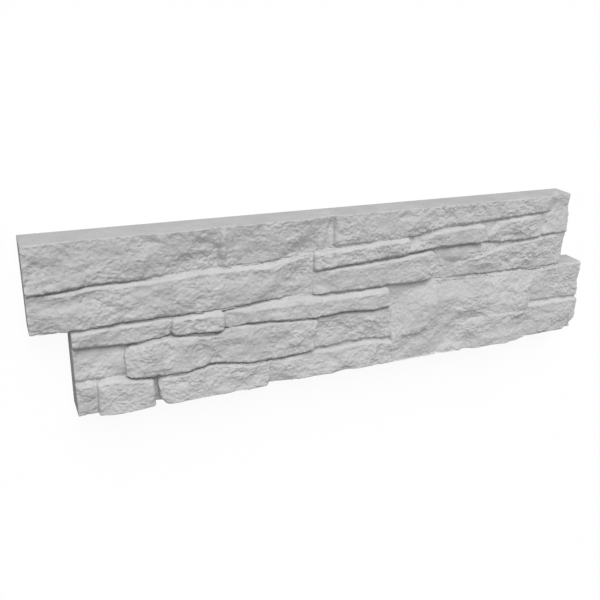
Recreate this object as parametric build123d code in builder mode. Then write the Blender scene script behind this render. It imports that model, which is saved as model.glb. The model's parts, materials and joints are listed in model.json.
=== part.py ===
from build123d import *

import os
from dataclasses import dataclass, field
from math import cos, radians, sin, tan

# Decorative stone cladding tile: one cast piece with a dry-stone face, in millimetres.
# The tile lies on its flat back. X runs along its length, Y up its face as it hangs on a wall, and Z out of
# the wall. The origin is in the middle of the back. Heights and lengths on the face are measured from the
# lower left corner of the tile's overall rectangle.

# Overall sizes
tile_length = 550.0  # over both halves
tile_height = 150.0
step_length = 30.0  # the lower half is set this far to the right of the upper half
step_height = 75.0  # height of the interlocking step
body_depth = 20.0  # cast body, from the back to the bottom of the joints
packing_depth = 24.5  # the joints of the lowest course are filled to here
mould_depth = 45.0  # room in the mould, more than the boldest stone needs

# Joints and edges of the stones
joint_width = 2.2  # bed joints, open down to the body
perpend_lap = 0.4  # stones of one course run into each other by this much at their upright joints
arris = 1.8  # worn edge round each stone's face
corner_round = 3.0  # plan radius of a stone's corners
worn_round = 6.0  # the same, on a small stone that is worn round
bold_round = 8.0  # and on a large one
gully_round = 16.0  # beside the gully
tooth_round = 34.0  # lower right corner of the tile's face
edge_overrun = 5.0  # edge stones run on this far, and the mould's walls cut them flush
root_depth = 6.0  # how far each stone is rooted in the body
shortest_edge = 8.0  # a bend of a bed joint nearer than this to a stone's end is left out

# Heights of the courses, and the levels of the bed joints that follow from them
packing_level = 14.0
low_bed_level = 26.0
heel_level = 33.0
toothing_bed_level = 36.0
sliver_course = 15.0  # below the step
cap_course = 36.0  # along the top, on the left
lintel_cap_course = 28.0  # along the top, on the right
ledge_share = 0.64  # of the height left over the step, up to the joint under the lintels
middle_bed_level = step_height - sliver_course
cap_bed_level = tile_height - cap_course
lintel_bed_level = tile_height - lintel_cap_course
ledge_bed_level = step_height + ledge_share * (lintel_bed_level - step_height)

upper_right = tile_length - step_length
west_upper, east_upper = (-edge_overrun,) * 2, (upper_right + edge_overrun,) * 2
west_lower, east_lower = (step_length - edge_overrun,) * 2, (tile_length + edge_overrun,) * 2

# Upright joints, as (x at the foot, x at the head), from the top course down. Those near the right end are
# measured from it.
toothing_length = 64.5
heel_length = 84.0
heel_clearance = 1.5  # between the heel and the toothing
tip_length = 33.0  # of the last lintel, at its foot
tip_lean = 9.0
toothing_left = tile_length - toothing_length
heel_end = toothing_left - heel_clearance
heel_start = heel_end - heel_length
tip_left = upper_right - tip_length
cap_perpend = (151, 151)
valley_left, valley_right = (247, 255), (257, 257)  # an open valley, wider at its foot
ledge_perpend = (237.5, 238.5)
lintel_perpend = (334, 334)
lintel_end_perpend = (415, 415)
tip_perpend = (tip_left, tip_left + tip_lean)
block_perpend = (364, 364)
sliver_perpend = (109.5, 109.5)
pinning_perpend = (154, 155)
side_perpend = (70.5, 70.5)
stretcher_perpend = (239.5, 242)
corner_perpend = (46.5, 46.5)
gully_left, gully_right = (93, 93), (97, 97)  # open down to the packing
foot_perpend = (195.5, 195.5)
great_perpend = (321, 321)
sliver_end = (320, 313)  # leaves a small open pocket at its head
cheek_perpend = (373, 368)
heel_left, heel_right = (heel_start, heel_start + 8), (heel_end, heel_end - 4)
toothing_perpend = (toothing_left,) * 2


def bed(level, *wander):
    """A bed joint as points (x, y): wander holds (x, offset from the level) from left to right."""
    return [(x, level + offset) for x, offset in wander]


foot = bed(-edge_overrun, (0, 0))
head = bed(tile_height + edge_overrun, (0, 0))
packing_bed = bed(packing_level, (0, 0))
heel_bed = bed(heel_level, (408, -3), (440, 2), (476, -1))
low_bed = bed(
    low_bed_level,
    (38, 3), (52, 2.5), (64, 4.5), (80, 0.3), (95, -1.2), (122, -0.8), (134, 1.5), (158, 0.6),
    (174, -2), (212, -3), (235, -1), (250, -1), (300, -0.5), (314, -3),
)
toothing_bed = bed(toothing_bed_level, (486, 0), (505, 0.5), (538, 0))
middle_bed = bed(
    middle_bed_level,
    (38, -0.5), (65, -2.6), (90, -2.2), (106, -0.3), (118, -0.6), (149, -2.6), (160, 1), (178, 1),
    (198, 0), (223, -2.2), (252, -2.5), (282, -2), (297, -4), (310, -3),
)
step_bed = bed(
    step_height,
    (25, 0), (60, 1.2), (100, 2), (176, 3), (190, 4.4), (212, 4), (230, 4.2), (246, 3), (300, 3), (320, 3.5),
    (345, 2.5), (362, 4), (380, 2.5), (400, 1.5), (440, 0), (468, 0), (482, -1.5), (496, -1), (512, 0),
)
ledge_bed = bed(
    ledge_bed_level,
    (238, -4.5), (270, -2.5), (330, 1), (350, 3.5), (385, 5.5), (408, 5.5), (424, 3.5),
    (460, 1.3), (490, 4),
)
cap_bed = bed(
    cap_bed_level,
    (12, -5), (35, -3.2), (60, -2), (92, -2.4), (112, -1), (150, 0), (200, 0), (216, 1.5), (230, 2.5),
)
lintel_bed = bed(
    lintel_bed_level,
    (262, -2.3), (285, -1), (345, 0.8), (356, 4), (372, 6.5), (408, 7.5),
    (436, 8.5), (470, 10.3), (482, 10.5), (498, 12),
)


@dataclass
class Chip:
    """A flake struck off a stone: it leaves the plane through a point, sloping down the given way."""

    x: float
    y: float
    depth: float
    slope: float  # degrees from the wall
    towards: float  # degrees round the face, 0 to the right and 90 up


@dataclass
class Stone:
    """One stone of the face, between two upright joints and two bed joints."""

    name: str
    left: tuple
    right: tuple
    under: list
    over: list
    depth: float  # back of the tile to the middle of the stone's face
    rise: float = 0.0  # how much further out its head is than its foot
    run: float = 0.0  # how much further out its right end is than its left end
    corners: tuple = (corner_round,) * 4  # lower left, lower right, upper right, upper left
    chips: list = field(default_factory=list)


stones = [
    Stone(
        "cap_left", west_upper, cap_perpend, cap_bed, head, 28,
        chips=[Chip(118, tile_height - 5, 28, 10, -65)],
    ),
    Stone(
        "cap_middle", cap_perpend, valley_left, cap_bed, head, 26, rise=2,
        chips=[Chip(222, tile_height - 14, 26, 15, -55)],
    ),
    Stone(
        "cap_right", valley_right, east_upper, lintel_bed, head, 25.5,
        chips=[Chip(upper_right - 30, tile_height - 9, 25, 20, -31)],
    ),
    Stone(
        "long_ledge", west_upper, ledge_perpend, step_bed, cap_bed, 29, rise=-1,
        chips=[Chip(30, 90, 29, 12, 190), Chip(188, 95, 29.5, 10, -8)],
    ),
    Stone(
        "lintel", ledge_perpend, lintel_perpend, ledge_bed, lintel_bed, 28, run=1,
    ),
    Stone(
        "lintel_shoulder", lintel_perpend, lintel_end_perpend, ledge_bed, lintel_bed, 29.5, run=2,
        chips=[Chip(346, lintel_bed_level - 4, 28, 42, 125)],
    ),
    Stone(
        "lintel_end", lintel_end_perpend, tip_perpend, ledge_bed, lintel_bed, 27,
        chips=[Chip(432, lintel_bed_level - 1, 27, 32, 135), Chip(476, lintel_bed_level, 26.5, 14, 20)],
    ),
    Stone(
        "lintel_tip", tip_perpend, east_upper, ledge_bed, lintel_bed, 24, rise=-4, run=-2,
    ),
    Stone(
        "middle_block", ledge_perpend, block_perpend, step_bed, ledge_bed, 28, run=1,
        corners=(corner_round, bold_round, bold_round, corner_round),
        chips=[Chip(252, 90, 28, 18, 160), Chip(357, 83, 28.5, 30, -30)],
    ),
    Stone(
        "end_block", block_perpend, east_upper, step_bed, ledge_bed, 25.5,
        chips=[
            Chip(430, ledge_bed_level - 7, 25.5, 40, 100), Chip(395, 90, 25.5, 12, 180),
            Chip(upper_right - 15, 90, 25.5, 10, 10),
        ],
    ),
    Stone("sliver_left", west_lower, sliver_perpend, middle_bed, step_bed, 27),
    Stone(
        "pinning", sliver_perpend, pinning_perpend, middle_bed, step_bed, 31.5,
        corners=(worn_round, corner_round, corner_round, corner_round),
    ),
    Stone(
        "sliver_right", pinning_perpend, sliver_end, middle_bed, step_bed, 30,
        chips=[Chip(225, step_height - 2, 30, 40, 90), Chip(172, 68, 29.5, 10, 180)],
    ),
    Stone("side_block", west_lower, side_perpend, low_bed, middle_bed, 24.5),
    Stone(
        "stretcher", side_perpend, stretcher_perpend, low_bed, middle_bed, 31,
        corners=(corner_round, corner_round, corner_round, bold_round),
        chips=[Chip(150, middle_bed_level - 9, 31, 28, 90), Chip(80, 45, 31, 18, 180)],
    ),
    Stone("recessed_block", stretcher_perpend, great_perpend, low_bed, middle_bed, 26),
    Stone("packing", west_lower, great_perpend, foot, packing_bed, packing_depth),
    Stone("foot_corner", west_lower, corner_perpend, foot, low_bed, 27.5),
    Stone(
        "foot_left", corner_perpend, gully_left, foot, low_bed, 32.5, rise=-3,
    ),
    Stone(
        "foot_middle", gully_right, foot_perpend, foot, low_bed, 33, rise=-1,
        corners=(gully_round, bold_round, corner_round, corner_round),
        chips=[Chip(150, low_bed_level - 13, 33, 33, 90)],
    ),
    Stone(
        "foot_right", foot_perpend, great_perpend, foot, low_bed, 30, rise=-3,
        chips=[Chip(215, 10, 30.5, 9, 190)],
    ),
    Stone(
        "great_cheek", great_perpend, cheek_perpend, foot, step_bed, 31.5,
        chips=[Chip(380, step_height - 19, 31, 24, 90), Chip(345, 50, 31, 20, 150)],
    ),
    Stone(
        "great_stone", cheek_perpend, toothing_perpend, foot, step_bed, 29, rise=-1,
        chips=[Chip(420, step_height - 19, 29, 18, 90), Chip(toothing_left - 11.5, 20, 30, 17, 0)],
    ),
    Stone(
        "great_heel", heel_left, heel_right, foot, heel_bed, 36, run=5,
        chips=[
            Chip(heel_end - 44, heel_level - 8, 36, 38, 90), Chip(heel_start + 16, 10, 34.5, 24, 180),
            Chip(heel_end - 31, 10, 37.5, 17, 0),
        ],
    ),
    Stone("toothing_block", toothing_perpend, east_lower, toothing_bed, step_bed, 24.5),
    Stone(
        "toothing_foot", toothing_perpend, east_lower, foot, toothing_bed, 27.5,
        corners=(corner_round, tooth_round, corner_round, corner_round),
    ),
]


def height_at(line, x):
    """Height of a bed joint at x: level beyond its ends."""
    if x <= line[0][0]:
        return line[0][1]
    for (x0, y0), (x1, y1) in zip(line, line[1:]):
        if x <= x1:
            return y0 + (y1 - y0) * (x - x0) / (x1 - x0)
    return line[-1][1]


def stretch(line, start, end, shift):
    """The part of a bed joint from start to end, shifted up or down."""
    inner = [p for p in line if start + shortest_edge < p[0] < end - shortest_edge]
    points = [(start, height_at(line, start)), *inner, (end, height_at(line, end))]
    return [(x, y + shift) for x, y in points]


def edges_of(stone):
    """The stone's lower and upper edge from left to right, half a joint inside the bed joints."""
    gap, lap = joint_width / 2, perpend_lap / 2
    lower = stretch(stone.under, stone.left[0] - lap, stone.right[0] + lap, gap)
    upper = stretch(stone.over, stone.left[1] - lap, stone.right[1] + lap, -gap)
    return lower, upper


corner = Vector(-tile_length / 2, -tile_height / 2, 0)
back = Plane(corner)


def sloping_plane(x, y, depth, slope_x, slope_y):
    """The plane through a point of the face, rising by slope_x along X and by slope_y along Y."""
    return Plane(corner + Vector(x, y, depth), x_dir=(1, 0, slope_x), z_dir=(-slope_x, -slope_y, 1))


def chip_plane(chip):
    fall = tan(radians(chip.slope))
    way = radians(chip.towards)
    return sloping_plane(chip.x, chip.y, chip.depth, -fall * cos(way), -fall * sin(way))


def bed_curve(points):
    """A bed joint's wandering line."""
    return Spline(*points) if len(points) > 2 else Line(*points)


def stone_block(stone):
    """The stone's solid, from its dressed face straight down to its root in the body."""
    lower, upper = edges_of(stone)
    xs, ys = zip(*lower, *upper)
    middle_x, middle_y = (max(xs) + min(xs)) / 2, (max(ys) + min(ys)) / 2
    slope_x = stone.run / (max(xs) - min(xs))
    slope_y = stone.rise / (max(ys) - min(ys))
    height = stone.depth - body_depth + root_depth
    ends = [lower[0], lower[-1], upper[-1], upper[0]]
    lower, upper = [[(x - middle_x, y - middle_y) for x, y in edge] for edge in (lower, upper)]
    with BuildPart() as block:
        with BuildSketch(sloping_plane(middle_x, middle_y, stone.depth, slope_x, slope_y)):
            with BuildLine():
                bed_curve(lower)
                Line(lower[-1], upper[-1])
                bed_curve(upper)
                Line(upper[0], lower[0])
            make_face()
        extrude(amount=height, dir=(0, 0, -1))
        for (x, y), radius in zip(ends, stone.corners):
            beside = corner + Vector(x, y, stone.depth - height / 2)
            fillet(block.edges().sort_by_distance(beside)[0], radius)
        chamfer(block.faces().sort_by(Axis.Z)[-1].edges(), arris)
        for chip in stone.chips:
            split(bisect_by=chip_plane(chip), keep=Keep.BOTTOM)
    return block.part


blocks = [stone_block(stone) for stone in stones]

z_outline = [
    (0, step_height), (step_length, step_height), (step_length, 0), (tile_length, 0),
    (tile_length, step_height), (upper_right, step_height), (upper_right, tile_height), (0, tile_height),
]

with BuildPart() as tile:
    with BuildSketch(back) as plan:
        with BuildLine():
            Polyline(*z_outline, close=True)
        make_face()
    extrude(amount=body_depth)
    add(blocks)
    extrude(plan.sketch, amount=mould_depth, mode=Mode.INTERSECT)

tile.part.label = "cladding_tile"
os.makedirs("parts", exist_ok=True)
export_step(tile.part, "parts/cladding_tile.step")
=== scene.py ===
import json
import math

import bpy
import numpy as np
from mathutils import Matrix, Vector

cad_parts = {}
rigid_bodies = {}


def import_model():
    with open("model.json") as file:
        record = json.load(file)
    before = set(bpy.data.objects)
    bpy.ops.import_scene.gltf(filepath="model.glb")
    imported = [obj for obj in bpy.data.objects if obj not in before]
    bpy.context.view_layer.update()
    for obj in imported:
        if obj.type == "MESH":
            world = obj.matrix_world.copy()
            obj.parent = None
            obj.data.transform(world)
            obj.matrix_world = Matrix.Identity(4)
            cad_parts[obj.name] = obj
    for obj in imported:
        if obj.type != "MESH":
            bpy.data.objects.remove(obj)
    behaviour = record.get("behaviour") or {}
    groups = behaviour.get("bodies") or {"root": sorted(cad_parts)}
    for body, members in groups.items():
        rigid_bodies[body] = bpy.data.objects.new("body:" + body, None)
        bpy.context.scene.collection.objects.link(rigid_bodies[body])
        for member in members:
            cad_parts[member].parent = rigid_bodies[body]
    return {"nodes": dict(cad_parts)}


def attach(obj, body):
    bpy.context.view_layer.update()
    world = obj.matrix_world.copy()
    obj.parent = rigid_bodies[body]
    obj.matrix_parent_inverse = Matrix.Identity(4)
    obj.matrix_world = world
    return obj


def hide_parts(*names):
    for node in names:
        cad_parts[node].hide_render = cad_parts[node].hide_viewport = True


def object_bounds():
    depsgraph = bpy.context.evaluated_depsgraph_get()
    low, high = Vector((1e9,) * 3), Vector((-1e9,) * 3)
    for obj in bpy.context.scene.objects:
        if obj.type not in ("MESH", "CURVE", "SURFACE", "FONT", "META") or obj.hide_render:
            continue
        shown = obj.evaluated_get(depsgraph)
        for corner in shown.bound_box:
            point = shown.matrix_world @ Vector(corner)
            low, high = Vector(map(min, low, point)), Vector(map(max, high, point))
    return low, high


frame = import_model()
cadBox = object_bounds()
scene = bpy.context.scene
mm = 0.001
print("frame loaded:", list(frame["nodes"]))


# A wrapped socket takes part in sums
class Socket:
    def __init__(self, nodes, socket):
        self.nodes = nodes
        self.socket = socket

    def sum(self, operation, first, second):
        return self.nodes.add("ShaderNodeMath", {"operation": operation}, {0: first, 1: second})

    def __add__(self, other):
        return self.sum("ADD", self, other)

    def __radd__(self, other):
        return self.sum("ADD", other, self)

    def __mul__(self, other):
        return self.sum("MULTIPLY", self, other)

    def __rmul__(self, other):
        return self.sum("MULTIPLY", other, self)


# The nodes of one material or world: every node comes from add()
class Nodes:
    def __init__(self, owner):
        owner.use_nodes = True
        self.tree = owner.node_tree
        self.tree.nodes.clear()

    def add(self, kind, settings=None, sockets=None, output=0):
        node = self.tree.nodes.new(kind)
        for name, value in (settings or {}).items():
            if name == "stops":
                self.setStops(node.color_ramp, value)
            else:
                setattr(node, name, value)
        for name, value in (sockets or {}).items():
            if isinstance(value, Socket):
                self.tree.links.new(value.socket, node.inputs[name])
            else:
                node.inputs[name].default_value = value
        return Socket(self, node.outputs[output]) if len(node.outputs) else node

    def setStops(self, ramp, stops):
        for element, (place, colour) in zip(ramp.elements, stops):
            element.position = place
            element.color = (*colour, 1)


# Cast stone
castStone = {
    "pale": (0.645, 0.645, 0.647),
    "deep": (0.485, 0.485, 0.488),
    "tones": (0.30, 0.70),  # where in the pattern deep ends and pale starts
    "mottle": {"Scale": 38.0, "Detail": 6.0, "Roughness": 0.62},  # clouds of tone, per metre
    "grain": {"Scale": 650.0, "Detail": 3.0, "Roughness": 0.6},
    "shares": (0.55, 0.45),  # of mottle and grain in the tone
    "roughness": (0.84, 0.95),
    "shine": 0.25,
    "bump": {"Strength": 0.8, "Distance": 0.5 * mm},
}


def makeCastStone(look):
    material = bpy.data.materials.new("castStone")
    nodes = Nodes(material)
    place = nodes.add("ShaderNodeTexCoord", output="Object")
    mottle = nodes.add("ShaderNodeTexNoise", {"noise_dimensions": "3D"}, {"Vector": place, **look["mottle"]})
    grain = nodes.add("ShaderNodeTexNoise", {"noise_dimensions": "3D"}, {"Vector": place, **look["grain"]})
    mottleShare, grainShare = look["shares"]
    deepEnd, paleStart = look["tones"]
    tone = nodes.add("ShaderNodeValToRGB", {"stops": [(deepEnd, look["deep"]), (paleStart, look["pale"])]},
                     {"Fac": mottle * mottleShare + grain * grainShare})
    low, high = look["roughness"]
    rough = mottle * (high - low) + low
    bump = nodes.add("ShaderNodeBump", None, {"Height": grain, **look["bump"]})
    shader = nodes.add("ShaderNodeBsdfPrincipled", None, {
        "Base Color": tone, "Roughness": rough, "Normal": bump, "Specular IOR Level": look["shine"],
    })
    nodes.add("ShaderNodeOutputMaterial", None, {"Surface": shader})
    return material


# The tile. Places on its face are x from its left end and y from its bottom edge
facetGrid = {
    "period": 64,  # cells before a pattern repeats
    "draws": 5,  # per cell: the middle's stray and the lean, each along and across, and the lift
    "stray": 0.45,
    "lift": 0.3,
}
tilePiece = {
    "node": "cladding_tile",
    "step": (30 * mm, 75 * mm),  # length and height of the interlocking step
    "mergeDistance": 0.01 * mm,
    "voxel": (0.65 * mm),
    "softening": {"factor": 0.5, "iterations": 2},  # rounds the arrises and the joints, as in a worn mould
    "mostTriangles": 190000,
    "smoothAngle": 60,
    "reliefFrom": (13 * mm, 20 * mm),  # the relief fades in over these distances from the back
    "jointFill": [(17 * mm, 0), (20 * mm, 3 * mm), (23.5 * mm, 0)],  # grit: distance from the back, and rise
    "waver": {  # of the stones' edges, along x and y, fading out towards the tile's sides
        "size": 8 * mm, "lean": 0.1125, "stretch": 1, "turn": 0, "edge": 4, "seeds": (5, 6),
        "margin": 7 * mm, "still": 0.2,  # still within this share of the margin
    },
    "patches": {  # where the facets are bolder or fainter
        "size": 30 * mm, "lean": 1.6, "stretch": 1.3, "turn": 15, "edge": 4, "seed": 21, "range": (0.8, 1.3),
    },
    "facets": [  # split faces that lean at random, from broad to fine
        {"size": 19 * mm, "lean": 0.12, "stretch": 1.3, "turn": 20, "edge": 7, "seed": 11},
        {"size": 8 * mm, "lean": 0.11, "stretch": 1.3, "turn": -25, "edge": 7, "seed": 12},
        {"size": 3.6 * mm, "lean": 0.15, "stretch": 1.25, "turn": 30, "edge": 6, "seed": 13},
        {"size": 1.9 * mm, "lean": 0.43, "stretch": 1.2, "turn": -10, "edge": 5, "seed": 14},
    ],
    "softSeams": {  # upright joints that fade: x, from y, to y and half width in mm, above a depth in mm
        "softening": {"factor": 0.5, "iterations": 30}, "above": 20,
        "lines": [(370.5, 2, 76, 5), (46.5, 2, 26, 3)],
    },
    # Flakes struck off: x, y, half length, half height and depth in mm, turn in degrees. One with its shade
    # above has a positive depth, one with its light above a negative one
    "scars": {
        "cap_left": [
            (32, 138, 10, 4, 0.9, -60), (42, 126, 9, 6, 0.5, 20), (68, 126, 12, 6, 0.4, 10),
            (96, 143, 9, 5, 0.6, 10), (25, 127, 8, 8, -0.4, 0), (118, 123, 14, 7, 0.5, 15),
            (137, 138, 15, 9, 1.6, 0),
        ],
        "cap_middle": [
            (166, 135, 11, 7, 0.6, 10), (186, 125, 9, 6, -0.4, 0), (191, 138, 7, 4, 0.6, 0),
            (228, 126, 18, 11, 1.8, 20),
        ],
        "cap_right": [
            (327, 144, 10, 6, 1.4, 0), (497, 138, 14, 7, 1.0, 40), (300, 134, 9, 6, -0.4, 10),
            (372, 139, 12, 6, 0.6, 15), (436, 140, 14, 6, 0.5, 12),
        ],
        "long_ledge": [
            (77, 91, 19, 10, 0.8, 15), (43, 103, 11, 7, 0.4, 10), (26, 101, 24, 9, 1.6, 8),
            (174, 106, 20, 6, 0.7, 8), (207, 100, 10, 6, -0.3, 0), (178, 90, 10, 7, 0.5, 0),
            (203, 89, 13, 7, 0.5, 5), (134, 89, 18, 6, 0.5, 8),
        ],
        "lintels": [(275, 117, 14, 6, 0.4, 5), (358, 117, 10, 5, 0.5, 15), (448, 121, 11, 6, 0.5, 10)],
        "middle_block": [(268, 92, 12, 7, 0.4, 10), (320, 94, 13, 6, -0.3, 10)],
        "end_block": [
            (466, 91, 15, 6, 0.8, 5), (415, 98, 9, 6, -0.5, 0), (492, 88, 12, 6, 1.0, 10),
            (450, 86, 10, 5, 0.8, 0),
        ],
        "sliver_right": [(200, 70, 13, 4, 0.8, 5), (290, 70, 10, 4, 0.7, 0), (250, 66, 16, 5, 0.4, 5)],
        "stretcher": [
            (155, 38, 88, 19, 1.0, 4), (96, 39, 14, 7, 0.4, 5), (159, 46, 15, 7, 0.4, 5),
            (210, 42, 12, 7, -0.4, 0), (100, 54, 12, 5, 0.9, 10), (140, 54, 13, 5, 0.9, 0),
            (185, 53, 14, 5, 1.0, 5), (222, 52, 10, 5, 0.8, 0),
        ],
        "recessed_block": [(280, 42, 14, 8, 0.4, 8)],
        "foot_middle": [
            (146, 13, 55, 15, 1.2, 3), (130, 14, 14, 7, 0.4, 5), (118, 20, 10, 6, 1.0, 10),
            (142, 21, 11, 6, 1.2, 5), (168, 20, 12, 6, 1.0, 0),
        ],
        "foot_right": [(262, 14, 15, 7, 0.5, 5)],
        "great_stone": [
            (405, 32, 88, 42, 1.6, 0), (445, 8, 46, 34, 1.2, 0), (389, 66, 12, 7, -0.5, 10),
            (440, 49, 16, 7, 0.9, 40), (382, 40, 9, 9, 0.6, 0), (417, 14, 18, 9, 0.5, 10),
            (350, 22, 12, 9, 0.4, 20), (462, 12, 9, 7, -0.4, 0), (470, 60, 10, 7, 0.5, -10),
            (425, 62, 10, 6, 1.0, 20), (447, 58, 11, 7, 1.2, 30), (465, 64, 9, 6, 0.9, 15),
            (455, 48, 10, 6, 1.0, -20),
        ],
        "toothing": [(520, 56, 11, 8, 0.5, 15), (512, 22, 12, 8, -0.4, 0)],
    },
    # Broad rises and hollows: x, y, half length, half height and height in mm, turn in degrees
    "swells": {
        "cap_middle": [(155, 134, 4, 17, 2.0, 0), (252.5, 132, 5, 20, -2.2, -8)],
        "long_ledge": [(68, 105, 48, 9, -1.2, 8)],
        "end_block": [(400, 102, 38, 10, 2.8, 0)],
        "side_block": [(56, 38, 24, 9, 1.8, 4)],
        "great_stone": [(446, 40, 44, 17, 3.4, 0), (451, 20, 40, 13, -2.4, 0), (392, 0, 18, 10, 2.5, 0)],
    },
    # Faces that lean more or less: y where the lean starts, rise at the joint and the joint's points in mm
    "leans": {
        "cap_middle": (134, -1.2, [(158, 114.4), (200, 114.4), (216, 115.9), (230, 116.9), (244, 117)]),
        "cap_right": (147, 1.2, [(372, 128.9), (408, 129.9), (436, 130.9), (470, 132.7), (498, 134.4)]),
        "long_ledge": (90, -1.8, [
            (3, 75.4), (60, 76.6), (100, 77.4), (176, 78.4), (190, 79.8), (232, 79.6),
        ]),
        "lintel": (108, 1.5, [(242, 119.3), (262, 119.3), (285, 120.6), (343, 122.4)]),
        "end_block": (94, -1.5, [(402, 77), (440, 75.6), (468, 75.6), (514, 75)]),
        "sliver_left": (62, 1.5, [(31, 74.6), (60, 75.8), (100, 76.6), (113, 76.8)]),
        "sliver_right": (72, 1.5, [
            (162, 77.4), (176, 77.6), (190, 79), (230, 78.8), (246, 77.6), (262, 77.6),
        ]),
        "side_block": (46, -4.0, [(31, 59.1), (65, 57), (82, 57.2)]),
        "stretcher": (50, 3.0, [
            (86, 57.6), (106, 59.3), (118, 59), (149, 57), (160, 60.6), (178, 60.6),
            (198, 59.6), (238, 57.2),
        ]),
        "foot_corner": (14, 2.5, [(31, 28.6), (45, 28.2)]),
        "foot_middle": (13, 6.5, [
            (97, 24.4), (122, 24.8), (134, 27.1), (158, 26.2), (174, 23.6), (195, 23),
        ]),
        "great_cheek": (36, -1.8, [(323, 0.5), (396, 0.5)]),
    },
    "leanEnds": 3 * mm,  # a lean fades out over this length at a stone's ends
}


def selectOnly(item):
    bpy.ops.object.select_all(action="DESELECT")
    item.select_set(True)
    bpy.context.view_layer.objects.active = item


def applyModifier(item, kind, settings):
    modifier = item.modifiers.new(kind.lower(), kind)
    for name, value in settings.items():
        setattr(modifier, name, value)
    bpy.ops.object.modifier_apply(modifier=modifier.name)


def getPlaces(item):
    places = np.empty(len(item.data.vertices) * 3)
    item.data.vertices.foreach_get("co", places)
    return places.reshape(-1, 3)


# The new places are kept inside the CAD box
def setPlaces(item, places):
    inside = np.clip(places, np.array(cadBox[0]), np.array(cadBox[1]))
    item.data.vertices.foreach_set("co", inside.ravel())
    item.data.update()


def copyTile(piece):
    mesh = bpy.data.objects[piece["node"]].data.copy()
    mesh.materials.clear()
    tile = bpy.data.objects.new("stone_tile", mesh)
    scene.collection.objects.link(tile)
    selectOnly(tile)
    bpy.ops.object.mode_set(mode="EDIT")
    bpy.ops.mesh.select_all(action="SELECT")
    bpy.ops.mesh.remove_doubles(threshold=piece["mergeDistance"])
    bpy.ops.object.mode_set(mode="OBJECT")
    return tile


def turned(x, y, turn):
    angle = math.radians(turn)
    return x * math.cos(angle) + y * math.sin(angle), y * math.cos(angle) - x * math.sin(angle)


# Heights of small planes that lean at random and run into each other at their edges
def facetHeights(x, y, facet):
    period, stray = facetGrid["period"], facetGrid["stray"]
    chance = np.random.default_rng(facet["seed"]).random((period, period, facetGrid["draws"])) * 2 - 1
    along, across = turned(x, y, facet["turn"])
    along, across = along / (facet["size"] * facet["stretch"]), across / facet["size"]
    column, row = np.floor(along).astype(int), np.floor(across).astype(int)
    total, weights = np.zeros_like(x), np.zeros_like(x)
    for stepAlong in (-1, 0, 1):
        for stepAcross in (-1, 0, 1):
            cellAlong, cellAcross = column + stepAlong, row + stepAcross
            odds = chance[cellAlong % period, cellAcross % period]
            strayAlong, strayAcross, leanAlong, leanAcross, lift = odds.T
            fromAlong = along - cellAlong - 0.5 - stray * strayAlong
            fromAcross = across - cellAcross - 0.5 - stray * strayAcross
            weight = np.exp(-facet["edge"] * (fromAlong ** 2 + fromAcross ** 2))
            total += weight * (leanAlong * fromAlong + leanAcross * fromAcross + facetGrid["lift"] * lift)
            weights += weight
    return facet["lean"] * facet["size"] * total / weights


# Places along and across a spot, 1 at its rim
def spotPlaces(x, y, spot):
    middleX, middleY, halfLength, halfHeight, turn = spot
    along, across = turned(x - middleX * mm, y - middleY * mm, turn)
    return along / (halfLength * mm), across / (halfHeight * mm)


def scarHeights(x, y, scar):
    *spot, depth, turn = scar
    along, across = spotPlaces(x, y, (*spot, turn))
    rest = np.clip(1 - along ** 2 - across ** 2, 0, 1)
    return -abs(depth) * mm * rest ** 2 * (1 - math.copysign(1, depth) * across)


def swellHeights(x, y, swell):
    *spot, height, turn = swell
    along, across = spotPlaces(x, y, (*spot, turn))
    return height * mm * np.clip(1 - (along ** 2 + across ** 2) ** 2, 0, 1) ** 2


def leanHeights(x, y, lean, ends):
    start, rise, joint = lean
    jointX, jointY = np.array(joint).T * mm
    share = (y - start * mm) / (np.interp(x, jointX, jointY) - start * mm)
    inside = np.clip(np.minimum(x - jointX[0], jointX[-1] - x) / ends, 0, 1)
    return rise * mm * inside * np.where(share <= 1, np.clip(share, 0, 1), 0)


# How far each place is from the sides of the tile's Z outline
def sideDistance(x, y, step):
    length, height = (cadBox[1][axis] - cadBox[0][axis] for axis in (0, 1))
    stepLength, stepHeight = step
    upper = np.minimum.reduce([x, length - stepLength - x, height - y])
    lower = np.minimum.reduce([x - stepLength, length - x, y])
    return np.where(y > stepHeight, upper, lower)


def softenSeams(tile, seams):
    x, y, z = ((getPlaces(tile) - np.array(cadBox[0])) / mm).T
    group = tile.vertex_groups.new(name="seams").name
    for seam, bottom, top, half in seams["lines"]:
        near = (abs(x - seam) < half) & (y > bottom) & (y < top) & (z > seams["above"])
        tile.vertex_groups[group].add(np.nonzero(near)[0].tolist(), 1, "REPLACE")
    applyModifier(tile, "SMOOTH", {**seams["softening"], "vertex_group": group})


def roughen(tile, piece):
    places = getPlaces(tile)
    x, y = places[:, 0] - cadBox[0][0], places[:, 1] - cadBox[0][1]
    low, high = piece["reliefFrom"]
    share = np.clip((places[:, 2] - low) / (high - low), 0, 1)
    patches, waver = piece["patches"], piece["waver"]
    rough = np.clip(1 + facetHeights(x, y, patches) / patches["size"], *patches["range"])
    relief = rough * sum(facetHeights(x, y, facet) for facet in piece["facets"])
    relief = relief + sum(scarHeights(x, y, scar) for stone in piece["scars"].values() for scar in stone)
    relief = relief + sum(swellHeights(x, y, swell) for stone in piece["swells"].values() for swell in stone)
    relief = relief + sum(leanHeights(x, y, lean, piece["leanEnds"]) for lean in piece["leans"].values())
    depths, rises = zip(*piece["jointFill"])
    filled = np.interp(places[:, 2], depths, rises)
    inner = share * np.clip(sideDistance(x, y, piece["step"]) / waver["margin"] - waver["still"], 0, 1)
    for axis, seed in enumerate(waver["seeds"]):
        places[:, axis] += inner * facetHeights(x, y, {**waver, "seed": seed})
    places[:, 2] += share * relief + filled
    setPlaces(tile, places)


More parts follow.
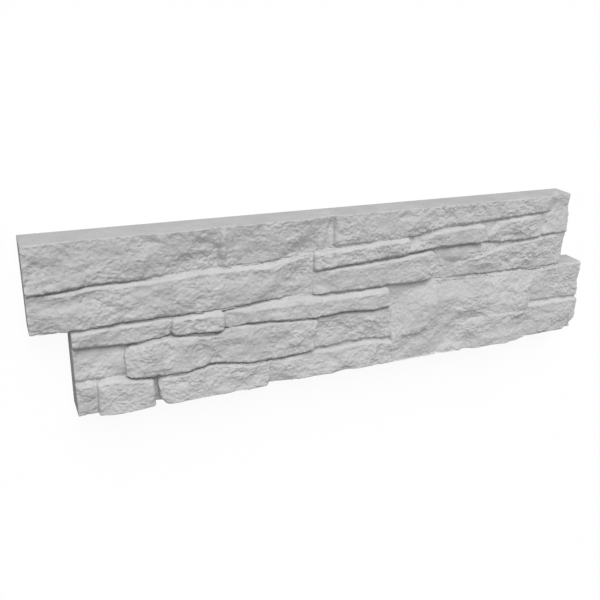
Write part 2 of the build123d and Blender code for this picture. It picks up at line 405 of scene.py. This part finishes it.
def makeTile(piece):
    tile = copyTile(piece)
    applyModifier(tile, "REMESH", {"mode": "VOXEL", "voxel_size": piece["voxel"]})
    print("remeshed:", len(tile.data.polygons), "faces")
    applyModifier(tile, "SMOOTH", piece["softening"])
    softenSeams(tile, piece["softSeams"])
    roughen(tile, piece)
    triangles = sum(len(polygon.vertices) - 2 for polygon in tile.data.polygons)
    if triangles > piece["mostTriangles"]:
        applyModifier(tile, "DECIMATE", {"ratio": piece["mostTriangles"] / triangles})
    setPlaces(tile, getPlaces(tile))
    bpy.ops.object.shade_smooth_by_angle(angle=math.radians(piece["smoothAngle"]))
    print("tile:", len(tile.data.polygons), "faces")
    return tile


stoneTile = makeTile(tilePiece)
stoneTile.data.materials.append(makeCastStone(castStone))
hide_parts(tilePiece["node"])
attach(stoneTile, "root")


# Floor, light and camera
stageSetup = {
    "floorSize": 8.0,
    "floorColour": (0.08, 0.08, 0.08),
    "floorGlow": 0.93,  # seen directly only, so the floor is white and keeps a faint shadow
    "skyStrength": 0.36,
    "keyFrom": (-0.05, 0.81, 0.585),
    "keyStrength": 2.53,
    "keySpread": 40.0,
}
viewpoint = {
    "place": (-0.2958, 0.2490, 0.5644),
    "towards": (0.383, -0.386, -0.839),
    "upright": (0.126, 0.922, -0.366),
    "lens": 43.79,
    "sensor": 36.0,
}


# 1 for what is seen by the camera, in a reflection or through glass
def seenDirectly(nodes):
    camera = nodes.add("ShaderNodeLightPath", output="Is Camera Ray")
    outputs = camera.socket.node.outputs
    return camera + Socket(nodes, outputs["Is Glossy Ray"]) + Socket(nodes, outputs["Is Transmission Ray"])


def makeFloor(setup):
    bpy.ops.object.select_all(action="DESELECT")
    bpy.ops.mesh.primitive_plane_add(size=setup["floorSize"], location=(0, 0, 0))
    floor = bpy.context.object
    floor.name = "studio_floor"
    material = bpy.data.materials.new("paleFloor")
    nodes = Nodes(material)
    paint = nodes.add("ShaderNodeBsdfDiffuse", None, {"Color": (*setup["floorColour"], 1)})
    glow = nodes.add("ShaderNodeEmission", None,
                     {"Color": (1, 1, 1, 1), "Strength": seenDirectly(nodes) * setup["floorGlow"]})
    both = nodes.add("ShaderNodeAddShader", None, {0: paint, 1: glow})
    nodes.add("ShaderNodeOutputMaterial", None, {"Surface": both})
    floor.data.materials.append(material)


def makeLight(setup):
    world = bpy.data.worlds.new("studio")
    scene.world = world
    nodes = Nodes(world)
    level = seenDirectly(nodes) * (1 - setup["skyStrength"]) + setup["skyStrength"]
    sky = nodes.add("ShaderNodeBackground", None, {"Color": (1, 1, 1, 1), "Strength": level})
    nodes.add("ShaderNodeOutputWorld", None, {"Surface": sky})
    lamp = bpy.data.lights.new("keyLight", "SUN")
    lamp.energy = setup["keyStrength"]
    lamp.angle = math.radians(setup["keySpread"])
    key = bpy.data.objects.new("keyLight", lamp)
    scene.collection.objects.link(key)
    key.rotation_euler = (-Vector(setup["keyFrom"])).to_track_quat("-Z", "Y").to_euler()


def makeCamera(view):
    lens = bpy.data.cameras.new("viewpoint")
    lens.sensor_width = view["sensor"]
    lens.lens = view["lens"]
    camera = bpy.data.objects.new("viewpoint", lens)
    scene.collection.objects.link(camera)
    ahead = Vector(view["towards"]).normalized()
    right = ahead.cross(Vector(view["upright"])).normalized()
    up = right.cross(ahead)
    facing = Matrix((right, up, -ahead)).transposed().to_4x4()
    camera.matrix_world = Matrix.Translation(view["place"]) @ facing
    scene.camera = camera


makeFloor(stageSetup)
makeLight(stageSetup)
makeCamera(viewpoint)
scene.view_settings.view_transform = "Standard"
print("stage ready")
